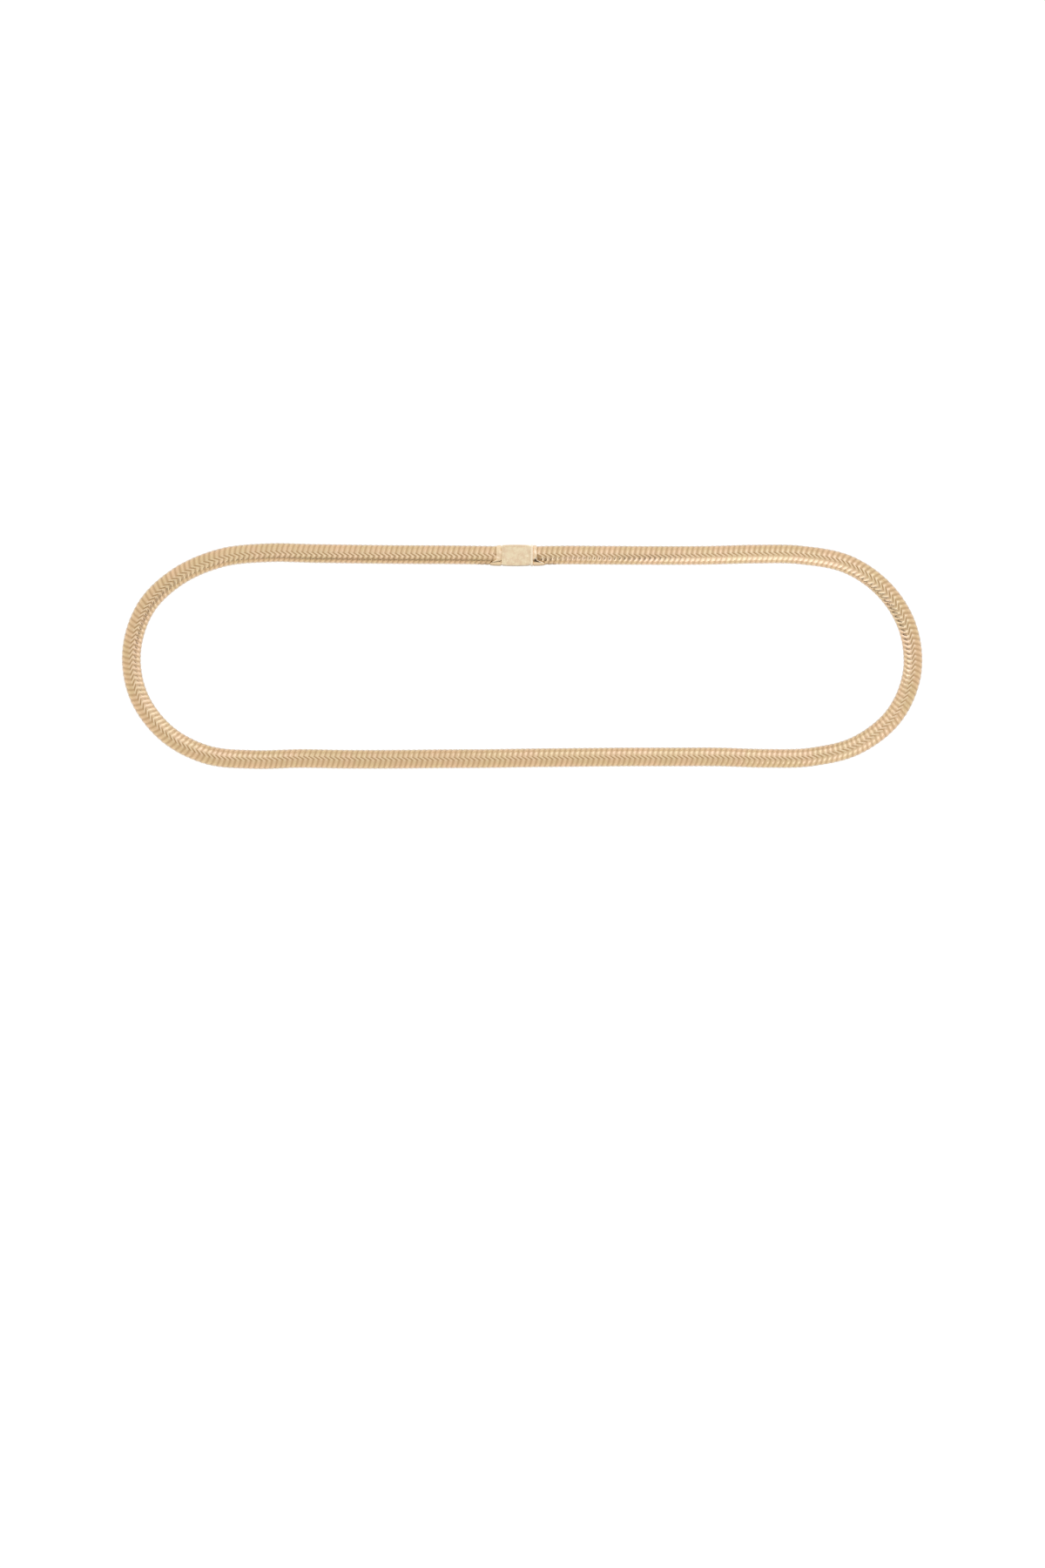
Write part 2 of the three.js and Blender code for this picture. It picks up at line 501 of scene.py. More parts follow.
@dataclass(frozen=True)
class WovenGold(GoldPlate):
    """The plate on woven links: no two links are quite alike, the grooves are dull and darker with
    painted shade, and the short plates' crests carry a painted highlight.

    A distance along the chain is a share of the way from crest to crest, and one round it is a
    share of the way between the middles of two short plates.

    Attributes:
        painted_groove_shade: A deeper colour painted in the grooves as shade.
        recess_from: How far along from a crest the painted shade of the grooves starts, and where
            it is full.
        groove_share: How much of it shows along a long plate, where 1 is as much as by a short one.
        groove_from: How far round from a short plate it starts to be less, and where it is least.
        groove_dullness: What the grooves add to the roughness.
        painted_highlight: A paler colour painted on the short plates' crests as a highlight.
        highlight_share: How much of the painted highlight shows.
        highlight_round: How far round a short plate it starts to fade, and where it ends.
        highlight_along: How far along from a crest it starts to fade, and where it ends.
        darker: The colour that the plates differ towards.
        darker_share: How much of it shows on the darkest plate.
        swell: How much rounder than its faces a plate looks, in metres.
        weave: The order of the plates.
    """

    painted_groove_shade: Colour = srgb(178, 143, 99)
    recess_from: Ramp = (0.1, 0.46)
    groove_share: float = 0.6
    groove_from: Ramp = (0.04, 0.12)
    groove_dullness: float = 0.25
    painted_highlight: Colour = srgb(246, 226, 192)
    highlight_share: float = 0.35
    highlight_round: Ramp = (0.08, 0.18)
    highlight_along: Ramp = (0.05, 0.35)
    darker: Colour = srgb(188, 155, 114)
    darker_share: float = 0.16
    swell: float = 0.1 * MM
    weave: Weave = Weave()

    def _place_in_weave(self, graph: Graph) -> tuple[Value, Value]:
        """Finds the place in the weave.

        Args:
            graph: Where the nodes are added.

        Returns:
            The place in links along the chain, and in turns round it.
        """
        uv = graph.add("ShaderNodeUVMap", {"uv_map": WEAVE_MAP})
        along = graph.add("ShaderNodeSeparateXYZ", inputs={"Vector": uv}, output="X")
        around = graph.add("ShaderNodeSeparateXYZ", inputs={"Vector": uv}, output="Y")
        return along, around

    def _from_short_plate(self, graph: Graph) -> Value:
        """How far round the chain the middle of a short plate is."""
        _, around = self._place_in_weave(graph)
        return abs((around * self.weave.pairs).fraction() - 0.5)

    def _from_crest(self, graph: Graph) -> Value:
        """How far along the chain the crest of a plate is."""
        along, _ = self._place_in_weave(graph)
        return abs(along.fraction() - 0.5)

    def _groove(self, graph: Graph) -> Value:
        """Where shade is painted and roughness added: 1 in the grooves round the short plates, less
        along the long ones, 0 on the crests.
        """
        along_long_plate = self._from_short_plate(graph).step_up(*self.groove_from)
        depth = 1 - along_long_plate * (1 - self.groove_share)
        return self._from_crest(graph).step_up(*self.recess_from) * depth

    def _highlight_mask(self, graph: Graph) -> Value:
        """Where a highlight is painted: 1 on the crests of the short plates, 0 away from them."""
        off_plate = self._from_short_plate(graph).step_up(*self.highlight_round)
        return (1 - off_plate) * (1 - self._from_crest(graph).step_up(*self.highlight_along))

    def tone(self, graph: Graph) -> Value:
        """Makes the plate's colour a little different on each plate of each link, with a painted
        highlight on the short plates' crests and painted shade in the grooves.

        Args:
            graph: Where the nodes are added.

        Returns:
            The colour.
        """
        along, around = self._place_in_weave(graph)
        turn = around * self.weave.pairs + 0.5 + self.weave.short_share / 2
        number = math.floor(turn) + math.floor(turn + 1 - self.weave.short_share)
        plate = graph.add("ShaderNodeCombineXYZ", inputs={"X": math.floor(along), "Y": number})
        chance = graph.add("ShaderNodeTexWhiteNoise", {"noise_dimensions": "2D"}, {"Vector": plate})
        shaded = graph.mix(chance * self.darker_share, super().tone(graph), self.darker)
        # Painted highlight: the short plates' crests are made paler
        highlighted = graph.mix(self._highlight_mask(graph) * self.highlight_share, shaded, self.painted_highlight)
        # Painted shade: the grooves are darkened with a deeper colour
        return graph.mix(self._groove(graph), highlighted, self.painted_groove_shade)

    def matt(self, graph: Graph) -> Value:
        """The roughness, higher in the grooves, which no cloth polishes."""
        return super().matt(graph) + self._groove(graph) * self.groove_dullness

    def relief(self, graph: Graph) -> Value:
        """Rounds the plates, under the marks of polishing.

        Args:
            graph: Where the nodes are added.

        Returns:
            The surface normal.
        """
        from_crest = self._from_crest(graph)
        rounded = 1 - from_crest * from_crest * 4
        inputs = {"Distance": self.swell, "Height": rounded, "Normal": super().relief(graph)}
        return graph.add("ShaderNodeBump", inputs=inputs)


@dataclass(frozen=True)
class MattSheet(Finish):
    """A matt sheet, which light may come through.

    Attributes:
        colour: The sheet's own colour.
        glow: The light that comes through it.
        roughness: How matt it is, from 0 to 1.
        sheen: How strongly it mirrors, from 0 to 1.
    """

    colour: Colour
    glow: float = 0.0
    roughness: float = 0.7
    sheen: float = 0.2

    def sockets(self, graph: Graph) -> Mapping[str, Any]:
        """The values of the shader's sockets."""
        return {
            "Base Color": self.colour,
            "Roughness": self.roughness,
            "Specular IOR Level": self.sheen,
            "Emission Color": (1, 1, 1, 1),
            "Emission Strength": self.glow,
        }


# Belt


@dataclass(frozen=True)
class Room:
    """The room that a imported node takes.

    Attributes:
        low: Its lowest corner.
        high: Its highest corner.
    """

    low: Vector
    high: Vector

    @property
    def centre(self) -> Vector:
        """Its middle."""
        return (self.low + self.high) / 2

    @property
    def size(self) -> Vector:
        """Its length along each axis."""
        return self.high - self.low


@dataclass(frozen=True)
class SubAssembly:
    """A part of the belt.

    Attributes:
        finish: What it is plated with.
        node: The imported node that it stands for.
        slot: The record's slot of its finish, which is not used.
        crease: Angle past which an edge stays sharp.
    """

    finish: GoldPlate
    node: str
    slot: ClassVar[Slot]
    crease: ClassVar[float] = math.radians(40)

    @property
    def room(self) -> Room:
        """The room that its node takes."""
        return Room(*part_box(self.node))

    def model(self) -> Object:
        """Models the part, which each kind does in its own way."""
        raise NotImplementedError

    def build(self) -> Object:
        """Models and dresses the part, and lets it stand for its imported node.

        Returns:
            The part as one piece.
        """
        piece = self.model()
        take(piece)
        bpy.ops.object.shade_smooth_by_angle(angle=self.crease)
        piece.name = f"{self.node}_fine"
        piece.data.name = piece.name
        piece.data.materials.clear()
        piece.data.materials.append(self.finish.material())
        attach(piece, BODY)
        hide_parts(self.node)
        return piece


class RoutePoint(NamedTuple):
    """A point of the chain's middle line, in millimetres.

    Its lift is above the line's height on the table. Its roll is how far the chain's short plates
    lean from the top towards the inside of the loop, in degrees.
    """

    x: float
    y: float
    lift: float = 0
    roll: float = 2


ROUTE = [
    RoutePoint(5.7, 43.3, 0.4, roll=0),
    RoutePoint(20, 43.5, 0.3, roll=1),
    RoutePoint(40, 43.4, 0.04, roll=3),
    RoutePoint(60, 43.3, roll=4),
    RoutePoint(80, 43.4, roll=1),
    RoutePoint(100, 43.9, roll=0),
    RoutePoint(120, 43.5, roll=-1),
    RoutePoint(140, 39.5, roll=-3),
    RoutePoint(156, 28.4, roll=-2),
    RoutePoint(166, 12, roll=0),
    RoutePoint(167.8, -7.5, roll=1),
    RoutePoint(160, -25.8, roll=0),
    RoutePoint(144, -38.4, roll=1),
    RoutePoint(124.5, -43.4, roll=1),
    RoutePoint(104.5, -44, roll=1),
    RoutePoint(84.5, -43.4, roll=1),
    RoutePoint(64.5, -43.4, roll=-1),
    RoutePoint(44.5, -43.4, roll=-2),
    RoutePoint(24.5, -43.6, roll=-1),
    RoutePoint(4.5, -43.8, roll=-1),
    RoutePoint(-15.5, -44.1, roll=0),
    RoutePoint(-35.5, -44.2, roll=0),
    RoutePoint(-55.5, -44.4, roll=4),
    RoutePoint(-75.5, -44.4, roll=5),
    RoutePoint(-95.5, -44.1, roll=5),
    RoutePoint(-115.5, -44.5, roll=3),
    RoutePoint(-135.5, -42.5, roll=0),
    RoutePoint(-153, -33.4, roll=-1),
    RoutePoint(-165, -17.5, roll=-1),
    RoutePoint(-168.2, 2),
    RoutePoint(-162, 21, roll=4),
    RoutePoint(-148, 34.4, roll=3),
    RoutePoint(-129.5, 42.3),
    RoutePoint(-109.5, 44.5),
    RoutePoint(-89.5, 44.2, roll=4),
    RoutePoint(-69.5, 43.9, roll=4),
    RoutePoint(-49.5, 43.7, 0.04, roll=3),
    RoutePoint(-29.5, 43.6, 0.3),
    RoutePoint(-10.1, 43.3, 0.4, roll=1),
]


@dataclass(frozen=True)
class ChainRoute:
    """The chain's middle line, clockwise from the right cap to the left one.

    Attributes:
        resting_height: Height of the line where the chain lies on the table.
        steps: Straight stretches between two points.
    """

    resting_height: float
    steps: int = 24

    def curve(self) -> Object:
        """Draws the line.

        Returns:
            A curve object that passes smoothly through the points.
        """
        line = bpy.data.curves.new("route", "CURVE")
        line.dimensions = "3D"
        line.twist_mode = "Z_UP"
        line.resolution_u = self.steps
        spline = line.splines.new("BEZIER")
        spline.bezier_points.add(len(ROUTE) - 1)
        points = [Vector((p.x * MM, p.y * MM, self.resting_height + p.lift * MM)) for p in ROUTE]
        before = [2 * points[0] - points[1], *points[:-1]]
        after = [*points[1:], 2 * points[-1] - points[-2]]
        for number, knot in enumerate(spline.bezier_points):
            # A third of the slope, which is half the way from the point before to the one after
            reach = (after[number] - before[number]) / 6
            knot.handle_left_type = knot.handle_right_type = "FREE"
            knot.co = points[number]
            knot.handle_left = points[number] - reach
            knot.handle_right = points[number] + reach
            knot.tilt = math.radians(ROUTE[number].roll)
        route = bpy.data.objects.new("route", line)
        bpy.context.scene.collection.objects.link(route)
        return route


class Ring(NamedTuple):
    """One ring of vertices of a link: its place along the link, and its radius."""

    along: float
    radius: float


@dataclass(frozen=True)
class SnakeChain(SubAssembly):
    """A round chain of interlocked links, each a ring of slanted plates that zigzags round it.

    A ring has long plates, and short ones between them that lead back. Every plate is rounded
    across, falls to a groove on each side, and sinks a little at its two ends.

    Attributes:
        ends: Where the chain ends in the left and in the right cap, along X.
        diameter: Across the crests of the plates.
        resting_height: Height of its middle line where it lies on the table.
        usual_pitch: From link to link, before it is fitted to the route's length.
        groove_depth: From the crests down to the grooves.
        shoulder_drop: From the crests down to the plates' shoulders.
        shoulder_share: Width of a groove's slope, as a share of the pitch.
        weave: The order of the plates.
        long_columns: Faces that a long plate is made of; a short one is one face wide.
        lead_share: How far a plate's two ends lie apart along the chain, as a share of the pitch.
        end_dip: How far the plates sink where they meet end to end.
        weld: How near two links' edges are when they are joined.
        dent: How far a plate may be dented or raised.
        dent_size: Size of the dents.
    """

    slot: ClassVar[Slot] = Slot.CHAIN
    crease: ClassVar[float] = math.radians(70)
    ends: ClassVar[Mapping[Side, float]] = {Side.LEFT: -9.75 * MM, Side.RIGHT: 5.35 * MM}
    node: str = "chain"
    diameter: float = 8.2 * MM
    resting_height: float = 4.1 * MM
    usual_pitch: float = 2.23 * MM
    groove_depth: float = 0.19 * MM
    shoulder_drop: float = 0.05 * MM
    shoulder_share: float = 0.27
    weave: Weave = Weave()
    long_columns: int = 4
    lead_share: float = 0.92
    end_dip: float = 0.05 * MM
    weld: float = 0.01 * MM
    dent: float = 0.03 * MM
    dent_size: float = 2.4 * MM

    def model(self) -> Object:
        """Models the chain and lays it along its route.

        Returns:
            The chain, closed at its two ends.
        """
        route = ChainRoute(self.resting_height).curve()
        length = route.data.splines[0].calc_length()
        slant_room = self.usual_pitch * self.lead_share / 2
        links = round((length - 2 * slant_room) / self.usual_pitch)
        pitch = (length - 2 * slant_room) / links
        LOG.info("%s: %d links of %.3f mm on %.1f mm", self.node, links, pitch / MM, length / MM)
        chain = self._link(pitch, slant_room)
        modify(
            chain,
            "ARRAY",
            count=links,
            use_relative_offset=False,
            use_constant_offset=True,
            constant_offset_displace=(pitch, 0, 0),
            use_merge_vertices=True,
            merge_threshold=self.weld,
            offset_u=1.0,
        )
        modify(chain, "CURVE", object=route, deform_axis="POS_X")
        bpy.data.objects.remove(route)
        self._close_ends(chain)
        turn_outwards(chain)
        lumps = {"noise_scale": self.dent_size, "noise_depth": 1}
        displace(chain, "CLOUDS", lumps, strength=2 * self.dent, mid_level=0.5)
        return chain

    @property
    def _columns(self) -> int:
        """Faces round a link."""
        return self.weave.pairs * (self.long_columns + 1)

    @property
    def _column_turn(self) -> float:
        """Angle that one face takes while all are alike."""
        return math.tau / self._columns

    def _turn(self, point: Vector) -> float:
        """Angle of a point of the straight chain, from the top towards the inside of the loop."""
        return math.atan2(-point.y, point.z)

    def _column(self, point: Vector) -> int:
        """Number of the column of vertices that a point stands in."""
        return round(self._turn(point) / self._column_turn + 0.5) % self._columns

    def _spacing(self, column: int) -> float:
        """Works out the angle that a column of vertices is turned by, to where plates meet.

        Args:
            column: The column's number.

        Returns:
            The angle, in radians.
        """
        pair, along_plate = divmod(column - 1, self.long_columns + 1)
        pair_turn = math.tau / self.weave.pairs
        share = self.weave.short_share
        wanted = pair_turn * (pair + share / 2 + (1 - share) * along_plate / self.long_columns)
        return wanted - (column - 0.5) * self._column_turn

    def _lead(self, column: int, pitch: float) -> float:
        """How far a column of vertices is moved along a chain of this pitch."""
        along_plate = (column - 1) % (self.long_columns + 1)
        return pitch * self.lead_share * (0.5 - along_plate / self.long_columns)

    def _rings(self, pitch: float) -> list[Ring]:
        """Lists the rings of vertices from groove to groove.

        Args:
            pitch: Length of a link.

        Returns:
            The rings, in metres.
        """
        crest = self.diameter / 2
        groove = crest - self.groove_depth
        shoulder = crest - self.shoulder_drop
        return [
            Ring(0, groove),
            Ring(pitch * self.shoulder_share, shoulder),
            Ring(pitch / 2, crest),
            Ring(pitch * (1 - self.shoulder_share), shoulder),
            Ring(pitch, groove),
        ]

    def _link(self, pitch: float, start: float) -> Object:
        """Models one straight link.

        Args:
            pitch: Its length along the chain.
            start: Where its first ring stands on X.

        Returns:
            An open ring of plates round the X axis.
        """
        rings = self._rings(pitch)
        first_column = math.pi / 2 - self._column_turn / 2
        face_along_x = Matrix.Rotation(first_column, 3, "X") @ Matrix.Rotation(math.pi / 2, 3, "Y")
        bpy.ops.mesh.primitive_circle_add(
            vertices=self._columns,
            radius=rings[0].radius,
            location=(start, 0, 0),
            rotation=face_along_x.to_euler(),
        )
        link = settle(bpy.context.active_object)
        with editing(link, Elements.VERTICES):
            for ring, following in pairwise(rings):
                extrude((following.along - ring.along, 0, 0))
                growth = following.radius / ring.radius
                bpy.ops.transform.resize(
                    value=(1, growth, growth),
                    center_override=(start + following.along, 0, 0),
                )
        self._space_columns(link)
        self._map_weave(link, pitch, start)
        self._slant_plates(link, pitch)
        return link

    def _columns_in_turn(self, link: Object) -> Iterator[int]:
        """Opens a link, and selects one column of its vertices after the other.

        Args:
            link: The straight link.

        Yields:
            The number of the selected column.
        """
        with editing(link, Elements.VERTICES):
            for column in range(self._columns):
                pick(link, Elements.VERTICES, lambda v, wanted=column: self._column(v.co) == wanted)
                yield column

    def _space_columns(self, link: Object) -> None:
        """Turns a link's columns of vertices to where the plates meet."""
        for column in self._columns_in_turn(link):
            turn = -self._spacing(column)
            bpy.ops.transform.rotate(value=turn, orient_axis="X", center_override=(0, 0, 0))

    def _map_weave(self, link: Object, pitch: float, start: float) -> None:
        """Gives a link its map: its share of the pitch along, and its share of a turn around.

        Args:
            link: The straight link.
            pitch: Its length along the chain.
            start: Where its first ring stands on X.
        """
        layer = link.data.uv_layers.new(name=WEAVE_MAP)
        for face in link.data.polygons:
            middle = self._turn(face.center)
            for corner in face.loop_indices:
                point = link.data.vertices[link.data.loops[corner].vertex_index].co
                aside = math.remainder(self._turn(point) - middle, math.tau)
                along = (point.x - start) / pitch
                layer.data[corner].uv = (along, (middle + aside) / math.tau + 0.5)

    def _slant_plates(self, link: Object, pitch: float) -> None:
        """Moves a link's columns of vertices along the chain, and sinks those at plates' ends.

        Args:
            link: The straight link.
            pitch: Its length along the chain.
        """
        sunk = 1 - 2 * self.end_dip / self.diameter
        for column in self._columns_in_turn(link):
            bpy.ops.transform.translate(value=(self._lead(column, pitch), 0, 0))
            if column % (self.long_columns + 1) in (0, 1):
                bpy.ops.transform.resize(value=(1, sunk, sunk), center_override=(0, 0, 0))

    def _close_ends(self, chain: Object) -> None:
        """Leads the first and the last link's zigzag edge to a plain flat end, and closes it.

        Args:
            chain: The chain on its route.
        """
        for side, end_x in self.ends.items():

            def on_open_end(edge: Any, sign: int = side.value) -> bool:
                """Whether an edge is round this open end."""
                return edge.is_boundary and edge.verts[0].co.x * sign > 0

            with editing(chain, Elements.EDGES, on_open_end):
                extrude((0, 0, 0))
                bpy.ops.transform.resize(value=(0, 1, 1), center_override=(end_x, 0, 0))
                bpy.ops.mesh.edge_face_add()
                bpy.ops.mesh.poke()


@dataclass(frozen=True)
class EndCap(SubAssembly):
    """A drawn cup that holds an end of the chain, with a tab along the inside of the loop.

    Attributes:
        side: The way that its mouth looks.
        short_side: Its length apart from the tab.
        tab: Where the mouth's edge starts to run out to the tab and where it gets there, as shares
            of the cup's radius from its middle towards the inside of the loop.
        sheet: Thickness of its wall.
        shoulder: Rounding of its closed end.
        taper: Radius of the mouth's edge as a share of the cup's, so that it hugs the chain.
        lateness: How late on its way to the mouth the wall is drawn in, where 1 makes a cone.
        rings: Straight stretches that the wall's sweep to the mouth is made of.
        lip: Rounding of the mouth's edge.
        lip_angle: Angle past which an edge is rounded so.
        seat: Radius of the solder seat on its closed end.
        seat_height: How far the seat stands out.
        facets: Faces round it.
    """

    slot: ClassVar[Slot] = Slot.CAP
    side: Side
    short_side: float
    tab: Ramp = (0.4, 0.85)
    sheet: float = 0.3 * MM
    shoulder: Rounding = Rounding(0.14 * MM, 6)
    taper: float = 0.945
    lateness: int = 3
    rings: int = 4
    lip: Rounding = Rounding(0.07 * MM, 3)
    lip_angle: float = math.radians(50)
    seat: float = 4.3 * MM
    seat_height: float = 0.27 * MM
    facets: int = 96

    def model(self) -> Object:
        """Models the cup.

        Returns:
            The cup, with its wall's thickness.
        """
        bpy.ops.mesh.primitive_cylinder_add(
            vertices=self.facets,
            radius=self.room.size.z / 2,
            depth=self.room.size.x,
            location=self.room.centre,
            rotation=(0, math.pi / 2, 0),
        )
        cup = settle(bpy.context.active_object)
        round_rim(cup, looks(-self._mouth_way), self.shoulder)
        self._sweep_wall(cup)
        self._cut_mouth(cup)
        turn_outwards(cup)
        modify(cup, "SOLIDIFY", thickness=self.sheet, offset=-1, use_even_offset=True)
        self._solder_seat(cup)
        round_creases(cup, self.lip, self.lip_angle)
        return cup

    @property
    def _mouth_way(self) -> Vector:
        """The way that its mouth looks."""
        return self.side.value * RIGHT

    @property
    def _closed_x(self) -> float:
        """Where its closed end stands, along X."""
        return self.room.low.x if self.side is Side.RIGHT else self.room.high.x

    @property
    def _wall_x(self) -> float:
        """Where its straight wall starts, past the rounded closed end, along X."""
        return self._closed_x + self.side.value * self.shoulder.radius

    @property
    def _wall_reach(self) -> float:
        """How far the wall reaches along X from its start to the mouth, less than 0 to the left."""
        return self.side.value * (self.room.size.x - self.shoulder.radius)

    def _sweep_wall(self, cup: Object) -> None:
        """Divides the wall into rings, and draws them in more and more towards the mouth.

        Args:
            cup: The straight cup.
        """
        with editing(cup, Elements.EDGES, runs_along(self.short_side)):
            bpy.ops.mesh.subdivide(number_cuts=self.rings - 1)
            for number in range(1, self.rings + 1):
                share = number / self.rings
                drawn_in = 1 - (1 - self.taper) * share**self.lateness
                pick(cup, Elements.VERTICES, stands_at(self._wall_x + self._wall_reach * share))
                bpy.ops.transform.resize(
                    value=(1, drawn_in, drawn_in), center_override=self.room.centre
                )

    def _cut_mouth(self, cup: Object) -> None:
        """Opens the mouth and shortens the wall, all but the tab.

        Args:
            cup: The cup with its wall swept in.
        """
        centre = self.room.centre
        length = self.room.size.x
        wall_x = self._wall_x
        tab_start, tab_end = self.tab

        def inwards(vertex: Any) -> float:
            """How far a vertex is turned towards the inside of the loop, from -1 to 1."""
            aside = centre - vertex.co
            return round(aside.y / math.hypot(aside.y, aside.z), 3)

        def on_wall(vertex: Any) -> bool:
            """Whether a vertex stands on the wall, past the rounded closed end."""
            return (vertex.co.x - wall_x) * self.side.value > TOUCHING

        with editing(cup, Elements.FACES, looks(self._mouth_way)):
            bpy.ops.mesh.delete(type="ONLY_FACE")
        turns = sorted({inwards(vertex) for vertex in cup.data.vertices if on_wall(vertex)})
        with editing(cup, Elements.VERTICES):
            for turn in turns:
                run = min(max((turn - tab_start) / (tab_end - tab_start), 0), 1)
                drawn_back = (length - self.short_side) * (1 - run * run * (3 - 2 * run))
                kept = 1 - drawn_back / abs(self._wall_reach)
                pick(cup, Elements.VERTICES, lambda v, here=turn: on_wall(v) and inwards(v) == here)
                bpy.ops.transform.resize(value=(kept, 1, 1), center_override=(wall_x, 0, 0))

    def _solder_seat(self, cup: Object) -> None:
        """Raises the low round seat by which the cup is soldered on.

        Args:
            cup: The cup with its wall's thickness.
        """
        faces_clasp = looks(-self._mouth_way)
        closed_x = self._closed_x

        def closed_end(face: Any) -> bool:
            """Whether a face is the flat of the closed end, seen from the clasp."""
            return faces_clasp(face) and abs(face.calc_center_median().x - closed_x) < TOUCHING

        with editing(cup, Elements.FACES, closed_end):
            flat = self.room.size.z / 2 - self.shoulder.radius
            bpy.ops.mesh.inset(thickness=flat - self.seat)
            extrude(-self._mouth_way * self.seat_height)


@dataclass(frozen=True)
class ClaspBox(SubAssembly):
    """The clasp's body: eased edges, bowed long sides, and a lightly hammered lid in a narrow rim.

    Attributes:
        bow: How far the long sides bow out at their middle.
        bow_cuts: Cuts across the box that the bow is made with.
        corner: Rounding of the upright corners.
        edge: Rounding of the top and bottom edges.
        rim: Width of the rim round the lid.
        seam: Width of the seam between rim and lid.
        seam_depth: Depth of the seam.
        mouth: Width and height of the slot for the tongue.
        end_wall: Thickness of the closed end.
        lid_step: Size of the faces that the lid is hammered in.
        lid_edge: Rounding of the lid's edge.
        lid_angle: Angle past which an edge of the lid is rounded so.
        hammer_mark: Distance from one hammer mark to the next.
        hammer_depth: Depth of the marks.
    """

    slot: ClassVar[Slot] = Slot.CLASP
    node: str = "clasp_box"
    bow: float = 0.2 * MM
    bow_cuts: int = 9
    corner: Rounding = Rounding(0.7 * MM, 6)
    edge: Rounding = Rounding(0.36 * MM, 5)
    rim: float = 0.75 * MM
    seam: float = 0.06 * MM
    seam_depth: float = 0.2 * MM
    mouth: tuple[float, float] = (6.2 * MM, 3.6 * MM)
    end_wall: float = 1.6 * MM
    lid_step: float = 0.14 * MM
    lid_edge: Rounding = Rounding(0.06 * MM, 2)
    lid_angle: float = math.radians(60)
    hammer_mark: float = 1.3 * MM
    hammer_depth: float = 0.2 * MM

    def model(self) -> Object:
        """Models the box with its lid.

        Returns:
            The box and the lid in one mesh.
        """
        box = block(self.room.low, self.room.high)
        self._bow_sides(box)
        self._ease_edges(box)
        self._cut_pocket(box)
        self._cut_mouth(box)
        lid = self._lid()
        take(box)
        lid.select_set(True)
        bpy.ops.object.join()
        return box

    def _bow_sides(self, box: Object) -> None:
        """Divides the box along its length and draws its ends in.

        Args:
            box: The square box.
        """
        centre = self.room.centre
        half_length, half_width, _ = self.room.size / 2
        with editing(box, Elements.EDGES, runs_along(half_length)):
            bpy.ops.mesh.subdivide(number_cuts=self.bow_cuts)
            mesh = bmesh.from_edit_mesh(box.data)
            stations = sorted({round(vertex.co.x, 7) for vertex in mesh.verts})
            for station in stations:
                off_middle = (station - centre.x) / half_length
                draw_in = 1 - self.bow / half_width * off_middle**2
                pick(box, Elements.VERTICES, stands_at(station))
                bpy.ops.transform.resize(value=(1, draw_in, 1), center_override=centre)

    def _ease_edges(self, box: Object) -> None:
        """Rounds the upright corners, then the edges of the top and bottom.

        Args:
            box: The bowed box.
        """
        room = self.room

        def upright(edge: Any) -> bool:
            """Whether an edge stands on a corner of the box."""
            first, second = (vertex.co for vertex in edge.verts)
            at_end = abs(abs(first.x - room.centre.x) - room.size.x / 2) < TOUCHING
            return at_end and abs(first.z - second.z) > room.size.z / 2

        with editing(box, Elements.EDGES, upright):
            round_selected(self.corner)
        round_rim(box, looks(UP, -UP), self.edge)
        turn_outwards(box)

    def _cut(self, box: Object, low: Vector, high: Vector) -> None:
        """Takes a square hollow out of the box.

        Args:
            box: The box.
            low: The hollow's lowest corner.
            high: The hollow's highest corner.
        """
        cutter = block(low, high)
        modify(box, "BOOLEAN", object=cutter, operation="DIFFERENCE", solver="EXACT")
        bpy.data.objects.remove(cutter)

    def _cut_pocket(self, box: Object) -> None:
        """Sinks the pocket that the lid lies in.

        Args:
            box: The box with its edges eased.
        """
        inside = Vector((self.rim, self.rim + self.bow, 0))
        low = self.room.low + inside
        high = self.room.high - inside
        low.z = self.room.high.z - self.seam_depth
        high.z = self.room.high.z + self.seam_depth
        self._cut(box, low, high)

    def _cut_mouth(self, box: Object) -> None:
        """Cuts the slot for the tongue into the right end.

        Args:
            box: The box with its edges eased.
        """
        width, height = self.mouth
        reach = Vector((0, width / 2, height / 2))
        low = self.room.centre - reach
        high = self.room.centre + reach
        low.x = self.room.low.x + self.end_wall
        high.x = self.room.high.x + self.end_wall
        self._cut(box, low, high)

    def _lid(self) -> Object:
        """Models the hammered lid, which stands a seam's width clear of its pocket.

        Returns:
            The lid, closed all round.
        """
        room = self.room
        edge_gap = self.rim + self.seam
        length = room.size.x - 2 * edge_gap
        width = room.size.y - 2 * (edge_gap + self.bow)
        bpy.ops.mesh.primitive_grid_add(
            x_subdivisions=round(length / self.lid_step),
            y_subdivisions=round(width / self.lid_step),
            size=1,
            location=(room.centre.x, room.centre.y, room.high.z),
        )
        lid = bpy.context.active_object
        lid.scale = (length, width, 1)
        settle(lid)
        marks = {"noise_scale": self.hammer_mark, "distance_metric": "DISTANCE_SQUARED"}
        displace(lid, "VORONOI", marks, direction="Z", strength=self.hammer_depth, mid_level=1.0)
        modify(lid, "SOLIDIFY", thickness=2 * self.seam_depth, offset=-1)
        round_creases(lid, self.lid_edge, self.lid_angle)
        return lid


